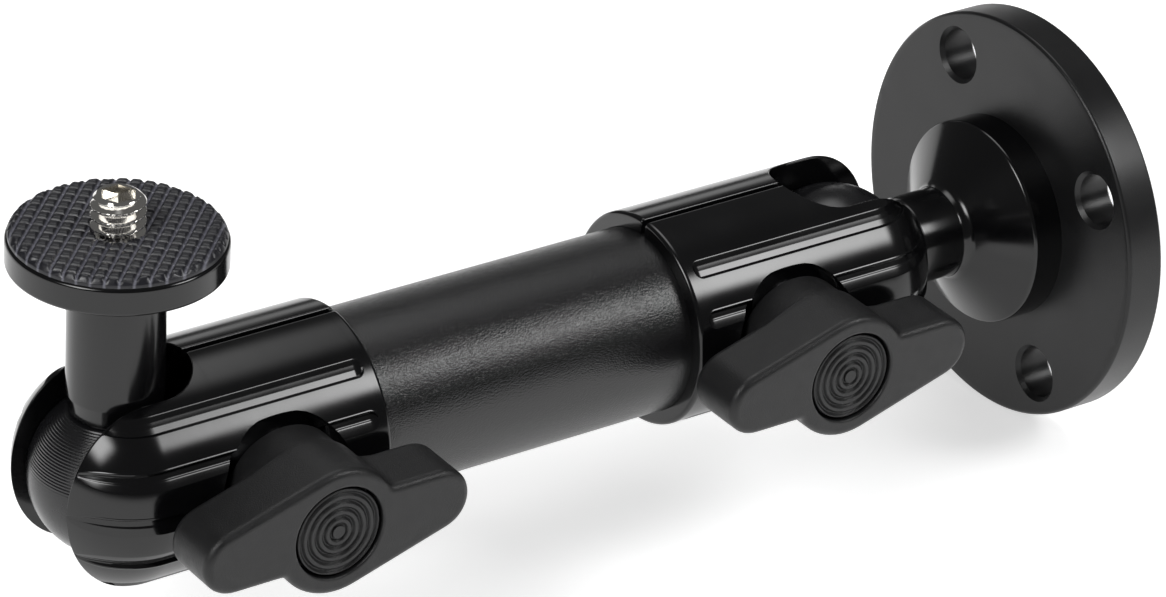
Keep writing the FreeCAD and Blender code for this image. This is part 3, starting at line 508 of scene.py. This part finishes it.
def shell(name, front, wall_end, body, node):
    """Half a clamp, lofted along the arm: one closed section for each place u from the ball's centre.

    A section is the outer arc of radius R(u) less the flutes, the flat rim walls at x = limit(u), and the
    inner arc of the socket or of the tube's seat. R is R0 sqrt(1 - (u / reach)^2) on the dome and then R0.
    A flute keeps its height z, so its angle is asin(z / R); its depth is flute_depth() across its width,
    times a taper that falls to 0 at the rim and before the edge at the tube. The outer flutes run on
    round the dome until the slot cuts them.
    """
    outer_start, outer_run, inner_run = 7.5, 3, 0.3
    u = shell_rows()
    outer = SHELL_RADIUS * np.sqrt(1 - (np.minimum(u, 0) / DOME_REACH) ** 2)
    edge = np.clip(u - (SHELL_REACH - END_ROUND), 0, END_ROUND)
    outer = outer - (END_ROUND - np.sqrt(np.maximum(END_ROUND ** 2 - edge ** 2, 0)))
    notch = np.sqrt(np.maximum(MOUTH_HALF ** 2 - (u - MOUTH_PLACE) ** 2, 0))
    limit = np.maximum(np.where(u < MOUTH_PLACE, MOUTH_HALF, notch), PARTING_HALF)
    inner = np.where(u < SOCKET_RADIUS, np.sqrt(np.maximum(SOCKET_RADIUS ** 2 - u ** 2, 0)), 0)
    inner = np.where(u > SEAT_START + 5e-4, SEAT_RADIUS, inner)
    last = np.arccos(np.clip(limit / outer, -1, 1))
    corner = np.minimum(RIM_ROUND / outer, last * 0.25)
    last_flat = last - corner
    breaks = [-last_flat]
    tapers, starts, halves = [], [], []
    edge_taper = np.sqrt(1 - (1 - np.clip((FLUTE_END - u) / FLUTE_RUN, 0, 1)) ** 2)
    for height in FLUTE_HEIGHTS:
        if abs(height) > MOUTH_HALF:
            near_rim, width = np.clip((u + outer_start) / outer_run, 0, 1), edge_taper
        else:
            meets_rim = DOME_REACH * math.sqrt(1 - (height ** 2 + MOUTH_HALF ** 2) / SHELL_RADIUS ** 2)
            past_rim = np.clip((u + meets_rim) / (inner_run * meets_rim), 0, 1)
            near_rim = np.sqrt(1 - (1 - past_rim) ** 2)
            width = near_rim * edge_taper
        tapers.append(near_rim * edge_taper)
        half = FLUTE_HALF / outer * np.maximum(width, 1e-3)
        place = np.arcsin(np.clip(height / outer, -1, 1))
        starts.append(place - half)
        halves.append(half)
        breaks += [np.clip(place + way * half, -last_flat, last_flat) for way in (-1, 1)]
    breaks.append(last_flat)
    angles, cuts = [], []
    for number in range(len(breaks) - 1):
        flute = number % 2 == 1
        share = np.linspace(0, 1, 37) if flute else (1 - np.cos(np.linspace(0, np.pi, 16))) / 2
        share = share[:-1] if number < len(breaks) - 2 else share
        span = breaks[number][:, None] + share[None, :] * (breaks[number + 1] - breaks[number])[:, None]
        angles.append(span)
        cut = np.zeros(span.shape)
        if flute:
            kind = number // 2
            across = np.clip((span - starts[kind][:, None]) / (2 * halves[kind][:, None]), 0, 1)
            cut = tapers[kind][:, None] ** 1.3 * flute_depth(across, kind)
        cuts.append(cut)
    angle = np.clip(np.concatenate(angles, 1), -last_flat[:, None], last_flat[:, None])
    radius = outer[:, None] - np.concatenate(cuts, 1)
    arc_x, arc_z = radius * np.cos(angle), radius * np.sin(angle)
    outer_rim = np.maximum(radius[:, 0], limit + 0.02)
    rim_top = np.sqrt(np.maximum(outer_rim ** 2 - limit ** 2, 0))
    hollow = inner > limit
    inner_last = np.where(hollow, np.arccos(np.clip(limit / np.maximum(inner, 1e-6), -1, 1)), 0)
    inner_top = np.where(hollow, inner * np.sin(inner_last), 0)
    lip = np.minimum(corner * outer, (rim_top - inner_top) * 0.45)
    bend = np.linspace(0, 1, 6)[1:]
    start_x, start_z = radius[:, 0] * np.cos(last_flat), radius[:, 0] * np.sin(last_flat)
    mix = ((1 - bend) ** 2, 2 * bend * (1 - bend), bend ** 2)
    corner_x = mix[0] * start_x[:, None] + mix[1] * limit[:, None] + mix[2] * limit[:, None]
    corner_z = mix[0] * start_z[:, None] + mix[1] * rim_top[:, None] + mix[2] * (rim_top - lip)[:, None]
    extra_z = np.stack([rim_top - lip * 1.15, inner_top + (rim_top - lip * 1.15 - inner_top) * 0.06], 1)
    wall_x = np.concatenate([corner_x, limit[:, None], limit[:, None]], 1)
    wall_z = np.concatenate([corner_z, extra_z], 1)
    swing = angle[:, ::-1] / last_flat[:, None]
    inner_angle = inner_last[:, None] * swing
    inner_x = np.where(hollow[:, None], inner[:, None] * np.cos(inner_angle), limit[:, None])
    inner_z = np.where(hollow[:, None], inner[:, None] * np.sin(inner_angle), 0)
    x = np.concatenate([arc_x, wall_x, inner_x, wall_x[:, ::-1]], 1)
    z = np.concatenate([arc_z, wall_z, inner_z, -wall_z[:, ::-1]], 1)
    y = np.broadcast_to(u[:, None], x.shape)
    side = 1 if front else -1
    over = -1 if wall_end else 1
    centre = WALL_BALL_Y if wall_end else CAMERA_BALL_Y
    points = np.stack([x * side, centre + y * over, z * over], -1)
    rows, columns = x.shape
    lid = ring_lid(angle.shape[1], wall_x.shape[1]) + (rows - 1) * columns
    faces = np.concatenate([loop_faces(rows, columns), lid])
    half = piece(name, [(points, faces)], GLOSS, body, [node], SHELL_SMOOTH)
    cut_out(half, front, centre + BOLT_PLACE * over)
    return half


def ring_lid(arc, wall):
    """Quads that close the last section: each outer point k to its inner fellow."""
    k = np.arange(arc - 1)
    inner = 2 * arc + wall - 1 - k
    return np.stack([k, k + 1, inner - 1, inner], -1)


def flute_depth(share, number):
    """Depth across a flute: a steep wall, a tilted floor and a long slope out, with their corners averaged.

    The outer flutes have the steep wall towards the knob, the inner ones away from it.
    """
    if number in (0, 2, 3):
        share = 1 - share
    if number in (0, 4):
        places, depths = (0, 0.03, 0.15, 0.45, 0.72, 0.97, 1), (0, 0, 0.52, 0.45, 0.26, 0, 0)
    else:
        places = (0, 0.05, 0.09, 0.19, 0.46, 0.54, 0.95, 1)
        depths = (0, -0.05, -0.04, 0.45, 0.36, 0.25, 0, 0)
    blur = 0.025
    near = np.linspace(-blur, blur, 9)
    weight = np.cos(near / blur * np.pi / 2.2)
    depth = np.interp(share[..., None] + near, places, depths) @ (weight / weight.sum())
    return depth * (share > 0) * (share < 1)


def cut_out(thing, front, bolt_y):
    """Cuts the knob's dish or the bolt head's pocket, and the bolt's hole, out of a shell."""
    side = 1 if front else -1
    if front:
        lip, ease, height = 0.4, 0.12, 6
        dish = [(0, 0), (DISH_RADIUS - lip, 0), (DISH_RADIUS - ease, ease), (DISH_RADIUS, lip),
                (DISH_RADIUS, height), (0, height)]
        tools = [(np.array(dish), DISH_FLOOR, 96)]
    else:
        corner, height = POCKET_HALF / math.cos(math.pi / 6), 8
        tools = [(np.array([(0, 0), (corner, 0), (corner, height), (0, height)]), POCKET_FLOOR, 6)]
    through, length = -1.0, 16
    tools.append((np.array([(0, 0), (BOLT_HOLE, 0), (BOLT_HOLE, length), (0, length)]), through, 48))
    for number, (profile, start, segments) in enumerate(tools):
        shape, faces = turned(profile, (start * side, bolt_y, 0), (side, 0, 0), segments)
        if segments == 6:
            spin = math.pi / 6
            rest = shape - np.array((0, bolt_y, 0))
            up = rest[..., 1] * math.sin(spin) + rest[..., 2] * math.cos(spin)
            across = rest[..., 1] * math.cos(spin) - rest[..., 2] * math.sin(spin)
            shape = np.stack([rest[..., 0], across + bolt_y, up], -1)
        tool = plain_mesh(f"cutter_{number}", shape, faces)
        cut = thing.modifiers.new("cut", "BOOLEAN")
        cut.object = tool
        cut.operation = "DIFFERENCE"
        cut.solver = "EXACT"
        bpy.context.view_layer.update()
        done = bpy.data.meshes.new_from_object(thing.evaluated_get(bpy.context.evaluated_depsgraph_get()))
        thing.modifiers.clear()
        thing.data = done
        bpy.data.objects.remove(tool)
    thing.data.shade_smooth()
    thing.data.set_sharp_from_angle(angle=math.radians(SHELL_SMOOTH))


def plain_mesh(name, points, faces):
    """A closed mesh object for cutting, with its poles merged."""
    mesh = bpy.data.meshes.new(name)
    mesh.from_pydata((points.reshape(-1, 3) * MM).tolist(), [], faces.tolist())
    shape = bmesh.new()
    shape.from_mesh(mesh)
    bmesh.ops.remove_doubles(shape, verts=shape.verts, dist=SAME_PLACE)
    face_outwards(shape)
    shape.to_mesh(mesh)
    shape.free()
    thing = bpy.data.objects.new(name, mesh)
    bpy.context.scene.collection.objects.link(thing)
    return thing


def wing_outline(count=480):
    """The knob's outline: a hub circle and two round tips, joined by a slanted line and a level one each.

    The corner between level line and hub is eased by averaging neighbouring points.
    """
    slope = (HUB_RADIUS - WING_RADIUS) / WING_PLACE
    tip = np.linspace(-math.acos(slope), math.pi / 2, 60)
    step = math.asin(WING_RADIUS / HUB_RADIUS)
    hub = np.linspace(step, math.pi - math.acos(slope), 40)
    half = np.concatenate([
        np.stack([WING_PLACE + WING_RADIUS * np.cos(tip), WING_RADIUS * np.sin(tip)], -1),
        HUB_RADIUS * np.stack([np.cos(hub), np.sin(hub)], -1)])
    line = np.concatenate([half, -half, half[:1]])
    run = np.concatenate([[0], np.cumsum(np.hypot(*np.diff(line, axis=0).T))])
    even = np.linspace(0, run[-1], count, endpoint=False)
    shape = np.stack([np.interp(even, run, line[:, axis]) for axis in (0, 1)], -1)
    for _ in range(14):
        shape = (np.roll(shape, 1, 0) + shape * 2 + np.roll(shape, -1, 0)) / 4
    return shape


def knob(name, wall_end, body, node):
    """Moulded wing knob: the outline carried back from the face, then in under the wings to the hub.

    Each point of the outline has its own path: from the cap's recess out over the face, round the edge,
    down the side, round the back edge, in to the hub and down the hub with a fillet.
    """
    line = wing_outline()
    ahead = np.roll(line, -1, 0) - np.roll(line, 1, 0)
    outward = np.stack([ahead[:, 1], -ahead[:, 0]], -1) / np.linalg.norm(ahead, axis=1)[:, None]
    spoke = line / np.linalg.norm(line, axis=1)[:, None]
    distance = np.linalg.norm(line, axis=1)
    rows = []

    def row(flat, x):
        """Adds one ring of points: places in the face's plane, at a height x along the knob's axis."""
        rows.append(np.concatenate([np.broadcast_to(np.asarray(x, float), (len(flat),))[:, None], flat], 1))

    recess, recess_floor, recess_round = CAP_RADIUS + 0.32, KNOB_FACE - 2.9, 0.3
    soft, back = 0.95, KNOB_FACE - WING_THICK
    row(spoke * 0.0, recess_floor)
    row(spoke * recess, recess_floor)
    row(spoke * recess, KNOB_FACE - recess_round - 0.05)
    for turn in np.linspace(0, np.pi / 2, 5):
        row(spoke * (recess + recess_round * (1 - np.cos(turn))),
            KNOB_FACE - recess_round + recess_round * np.sin(turn))
    around = spoke * (recess + recess_round + 0.1)
    row(around, KNOB_FACE)
    inner_line = line - outward * (soft + 0.05)
    for share in (0.35, 0.7, 1.0):
        row(around * (1 - share) + inner_line * share, KNOB_FACE)
    for turn in np.linspace(0, np.pi / 2, 9):
        row(line - outward * soft * (1 - np.sin(turn)), KNOB_FACE - soft * (1 - np.cos(turn)))
    row(line, KNOB_FACE - soft - 0.1)
    row(line, back + soft + 0.1)
    least_gap, foot_round, bolt_room = 0.35, 0.35, 3.0
    root_gap = np.maximum(distance - HUB_FOOT, least_gap)
    back_soft = np.minimum(soft, root_gap * 0.45)
    for turn in np.linspace(0, np.pi / 2, 8):
        row(line - outward * (back_soft * (1 - np.cos(turn)))[:, None], back + back_soft * (1 - np.sin(turn)))
    fillet = np.minimum(2.4, root_gap * 0.5)
    edge_line = line - outward * back_soft[:, None]
    root_line = spoke * (HUB_FOOT + fillet)[:, None]
    for share in (0.1, 0.5, 0.9):
        row(edge_line * (1 - share) + root_line * share, back)
    for turn in np.linspace(0, np.pi / 2, 9):
        row(spoke * (HUB_FOOT + fillet * (1 - np.sin(turn)))[:, None], back - fillet * (1 - np.cos(turn)))
    row(spoke * HUB_FOOT, KNOB_BACK + foot_round)
    row(spoke * (HUB_FOOT - 0.3), KNOB_BACK)
    row(spoke * bolt_room, KNOB_BACK)
    row(spoke * 0.0, KNOB_BACK + 0.2)
    points = np.array(rows)
    over = -1 if wall_end else 1
    centre = WALL_BALL_Y - BOLT_PLACE if wall_end else CAMERA_BALL_Y + BOLT_PLACE
    points = np.stack([points[..., 0], centre + points[..., 1] * over, points[..., 2] * over], -1)
    return piece(name, [(points, loop_faces(len(points), len(line)))], PLASTIC, body, [node], 60)


def knob_cap(name, centre_y, body, node):
    """Cap with concentric rings: its height waves with the radius, one rounded ring each millimetre."""
    start, half, depth, boss, rim, thick = 0.45, 0.34, 0.34, 0.8, 0.2, 2.4
    radius = np.linspace(0, CAP_RADIUS - rim, 200)
    phase = (radius - start) % 1.0
    groove = np.clip(1 - np.abs(phase - 0.5) / half, 0, 1)
    height = -depth * np.sin(groove * np.pi / 2) ** 1.5 * (radius > boss)
    face = np.stack([radius, height], -1)
    ease = 0.06
    edge = np.array([(CAP_RADIUS - ease, -ease), (CAP_RADIUS, -rim), (CAP_RADIUS, -thick), (0, -thick)])
    shape = turned(np.concatenate([face, edge]), (CAP_FACE, centre_y, 0), (1, 0, 0), 128)
    return piece(name, [shape], PLASTIC, body, [node], 50)


def camera_pad():
    """Rubber pad on a polar grid: its top is a grid of small rounded pyramids, set at 45 degrees."""
    spokes, rim_width, rim_drop, edge_drop = 560, 0.7, 0.25, 0.04
    angle = np.linspace(0, 2 * np.pi, spokes, endpoint=False)
    radius = np.concatenate([[STUD_RADIUS + 0.02], np.linspace(STUD_RADIUS + 0.1, PAD_RADIUS - 0.02, 92)])
    x, y = radius[:, None] * np.cos(angle), radius[:, None] * np.sin(angle)

    def across(value):
        """Distance from the middle of the nearest pyramid, along one direction of the grid."""
        return np.abs((value / PAD_PITCH) % 1 - 0.5) * PAD_PITCH

    a, b = across((x + y) / math.sqrt(2)), across((x - y) / math.sqrt(2))
    slope = np.clip((PAD_PITCH / 2 - np.maximum(a, b)) / 0.5, 0, 1)
    at_rim = np.clip((radius[:, None] - (PAD_RADIUS - rim_width)) / rim_width, 0, 1) ** 2
    top = PAD_TOP - PAD_RISE + PAD_RISE * np.sin(slope * np.pi / 2) * (1 - at_rim) - rim_drop * at_rim
    inner = np.stack([x[:1], y[:1], np.full_like(x[:1], DISC_TOP)], -1)
    face = np.stack([x, y, top], -1)
    edge = np.stack([PAD_RADIUS * np.cos(angle), PAD_RADIUS * np.sin(angle)], -1)
    side = [np.concatenate([edge, height], 1) for height in ((top[-1] - edge_drop)[:, None],
                                                             np.full((spokes, 1), DISC_TOP))]
    points = np.concatenate([inner, face, np.array(side), inner])
    points[..., 1] += CAMERA_BALL_Y
    faces = loop_faces(len(points), spokes)
    return piece("pad", [(points, faces)], RUBBER, "camera_head", ["camera_pad"], 70)


def camera_stud():
    """Threaded screw with a key socket: its radius less the depth of a V of (height - pitch * turn)."""
    pitch, deep, count = 1.27, 0.80, 144
    chamfer, fall, key_half, key_depth = 0.75, 0.9, 1.9, 2.4
    angle = np.linspace(0, 2 * np.pi, count, endpoint=False)
    height = np.linspace(DISC_TOP - 1.0, STUD_TOP, 150)
    phase = (height[:, None] / pitch - angle / (2 * np.pi)) % 1
    ridge = np.clip(1 - np.abs(phase - 0.5) * 2, 0, 1)
    radius = STUD_RADIUS - deep * np.clip(1.08 - 1.25 * ridge, 0, 1)
    cone = STUD_RADIUS - np.maximum(height - (STUD_TOP - chamfer), 0) * fall
    radius = np.minimum(radius, cone[:, None])
    six = key_half / np.cos((angle + math.pi / 6) % (math.pi / 3) - math.pi / 6)
    level = np.broadcast_to(height[:, None], radius.shape)
    rows = [np.stack([radius * np.cos(angle), radius * np.sin(angle), level], -1)]
    for share, depth in ((0.25, 0), (1.0, 0), (1.0, 0.06), (1.0, key_depth), (0.0, key_depth + 0.3)):
        ring = (radius[-1] * (1 - share) + six * share) if share else six * 0
        level = np.full(count, STUD_TOP - depth)
        rows.append(np.stack([ring * np.cos(angle), ring * np.sin(angle), level], -1)[None])
    points = np.concatenate([rows[0][:1] * (0, 0, 1), *rows])
    points[..., 1] += CAMERA_BALL_Y
    faces = loop_faces(len(points), count)
    return piece("stud", [(points, faces)], NICKEL, "camera_head", ["camera_stud"], 40)


wall_plate()
pedestal()
grooved_ball("neck_ball", (0, WALL_BALL_Y, 0), (0, 1, 0), "wall_ball", "wall_ball", 2)
grooved_ball("head_ball", (0, CAMERA_BALL_Y, 0), (0, 0, 1), "camera_ball", "camera_ball", 5)
camera_stem()
arm_tube()
camera_pad()
camera_stud()
for end in ("wall", "camera"):
    at_wall = end == "wall"
    bolt_y = WALL_BALL_Y - BOLT_PLACE if at_wall else CAMERA_BALL_Y + BOLT_PLACE
    shell(f"{end}_front_half", True, at_wall, f"{end}_front_shell", f"{end}_clamp_front_shell")
    shell(f"{end}_rear_half", False, at_wall, "arm", f"{end}_clamp_rear_shell")
    knob(f"{end}_wing_knob", at_wall, f"{end}_knob", f"{end}_knob")
    knob_cap(f"{end}_ring_cap", bolt_y, f"{end}_knob", f"{end}_knob_cap")

# Inner pieces and fasteners keep their own shapes and take a finish
for node, finish in (("pedestal_screw", BLACKED), ("wall_tube_plug", PLASTIC), ("camera_tube_plug", PLASTIC),
                     *((f"{end}_{thing}", STEEL) for end in ("wall", "camera")
                       for thing in ("clamp_bolt", "clamp_spring", "knob_washer", "knob_nut"))):
    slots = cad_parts[node].data.materials
    slots.clear()
    slots.append(finish)


def stage():
    """A wide pale floor under the object, lifted to white for camera, glossy and transmission rays."""
    gap, size = 0.0005, 4.0
    level = cad_low.z - gap
    mesh = bpy.data.meshes.new("floor")
    mesh.from_pydata([(-size, -size, level), (size, -size, level), (size, size, level), (-size, size, level)],
                     [], [(0, 1, 2, 3)])
    floor = bpy.data.objects.new("floor", mesh)
    bpy.context.scene.collection.objects.link(floor)
    material, nodes, links, shader = new_material("floor_white", FLOOR_WHITE, 0.9, specular=0.1)
    path = nodes.new("ShaderNodeLightPath")
    seen = path.outputs["Is Camera Ray"]
    for kind in ("Is Glossy Ray", "Is Transmission Ray"):
        either = nodes.new("ShaderNodeMath")
        either.operation = "MAXIMUM"
        links.new(seen, either.inputs[0])
        links.new(path.outputs[kind], either.inputs[1])
        seen = either.outputs["Value"]
    lift = nodes.new("ShaderNodeMath")
    lift.operation = "MULTIPLY"
    lift.inputs[1].default_value = FLOOR_LIFT
    links.new(seen, lift.inputs[0])
    shader.inputs["Emission Color"].default_value = (1, 1, 1, 1)
    links.new(lift.outputs["Value"], shader.inputs["Emission Strength"])
    mesh.materials.append(material)


def soft_box(name, centre, target, width, length, power, soft=0.35, along=(0, 1, 0)):
    """A soft box at a place, turned to a target, its long side along the arm and its edges fading out."""
    light = bpy.data.lights.new(name, "AREA")
    light.shape = "RECTANGLE"
    light.size, light.size_y = length, width
    light.energy = power
    light.use_nodes = True
    nodes, links = light.node_tree.nodes, light.node_tree.links
    place = nodes.new("ShaderNodeNewGeometry")
    split = nodes.new("ShaderNodeSeparateXYZ")
    links.new(place.outputs["Parametric"], split.inputs["Vector"])
    fades = []
    for axis in ("X", "Y"):
        middle = nodes.new("ShaderNodeMath")
        middle.operation = "PINGPONG"
        middle.inputs[1].default_value = 0.5
        links.new(split.outputs[axis], middle.inputs[0])
        ramp = nodes.new("ShaderNodeMapRange")
        ramp.interpolation_type = "SMOOTHSTEP"
        ramp.inputs["From Min"].default_value = 0.0
        ramp.inputs["From Max"].default_value = soft
        links.new(middle.outputs[0], ramp.inputs["Value"])
        fades.append(ramp.outputs["Result"])
    both = nodes.new("ShaderNodeMath")
    both.operation = "MULTIPLY"
    links.new(fades[0], both.inputs[0])
    links.new(fades[1], both.inputs[1])
    links.new(both.outputs[0], nodes["Emission"].inputs["Strength"])
    thing = bpy.data.objects.new(name, light)
    bpy.context.scene.collection.objects.link(thing)
    back = (Vector(centre) - Vector(target)).normalized()
    side = (Vector(along) - back * back.dot(Vector(along))).normalized()
    turn = Matrix((side, back.cross(side), back)).transposed()
    thing.matrix_world = Matrix.Translation(Vector(centre)) @ turn.to_4x4()


def lights():
    """Soft boxes over the front of the arm, over its near end, behind it and overhead, and a pale surround."""
    middle = (0.01, -0.08, 0.01)
    soft_box("key", (0.46, 0.36, 0.53), middle, 0.36, 0.40, 5.2)
    soft_box("near_end", (0.18, -0.75, 0.57), (0.0, -0.12, 0.0), 0.52, 0.52, 8.5)
    soft_box("back_strip", (-0.78, 0.34, 0.22), middle, 0.22, 0.7, 0.4)
    soft_box("overhead", (-0.35, 0.1, 1.05), middle, 1.0, 1.0, 8.0)
    world = bpy.data.worlds.new("surround")
    world.use_nodes = True
    world.node_tree.nodes["Background"].inputs["Color"].default_value = (1, 1, 1, 1)
    world.node_tree.nodes["Background"].inputs["Strength"].default_value = 0.1
    bpy.context.scene.world = world


def camera():
    """The photograph's viewpoint: azimuth, elevation and roll of the view, fitted to the object's edges."""
    azimuth, elevation, roll = math.radians(53.507), math.radians(28.811), math.radians(3.65)
    place = Vector((477.58, -422.60, 331.76)) * MM
    sensor_width, focal_length = 36.0, 174.22
    ahead = Vector((-math.sin(azimuth) * math.cos(elevation), math.cos(azimuth) * math.cos(elevation),
                    -math.sin(elevation)))
    level = Vector((math.cos(azimuth), math.sin(azimuth), 0))
    upright = level.cross(ahead)
    right = level * math.cos(roll) + upright * math.sin(roll)
    up = upright * math.cos(roll) - level * math.sin(roll)
    lens = bpy.data.cameras.new("camera")
    lens.sensor_width = sensor_width
    lens.lens = focal_length
    thing = bpy.data.objects.new("camera", lens)
    bpy.context.scene.collection.objects.link(thing)
    turn = Matrix((right, up, -ahead)).transposed()
    thing.matrix_world = Matrix.Translation(place) @ turn.to_4x4()
    bpy.context.scene.camera = thing


stage()
lights()
camera()
bpy.context.scene.view_settings.view_transform = "Standard"
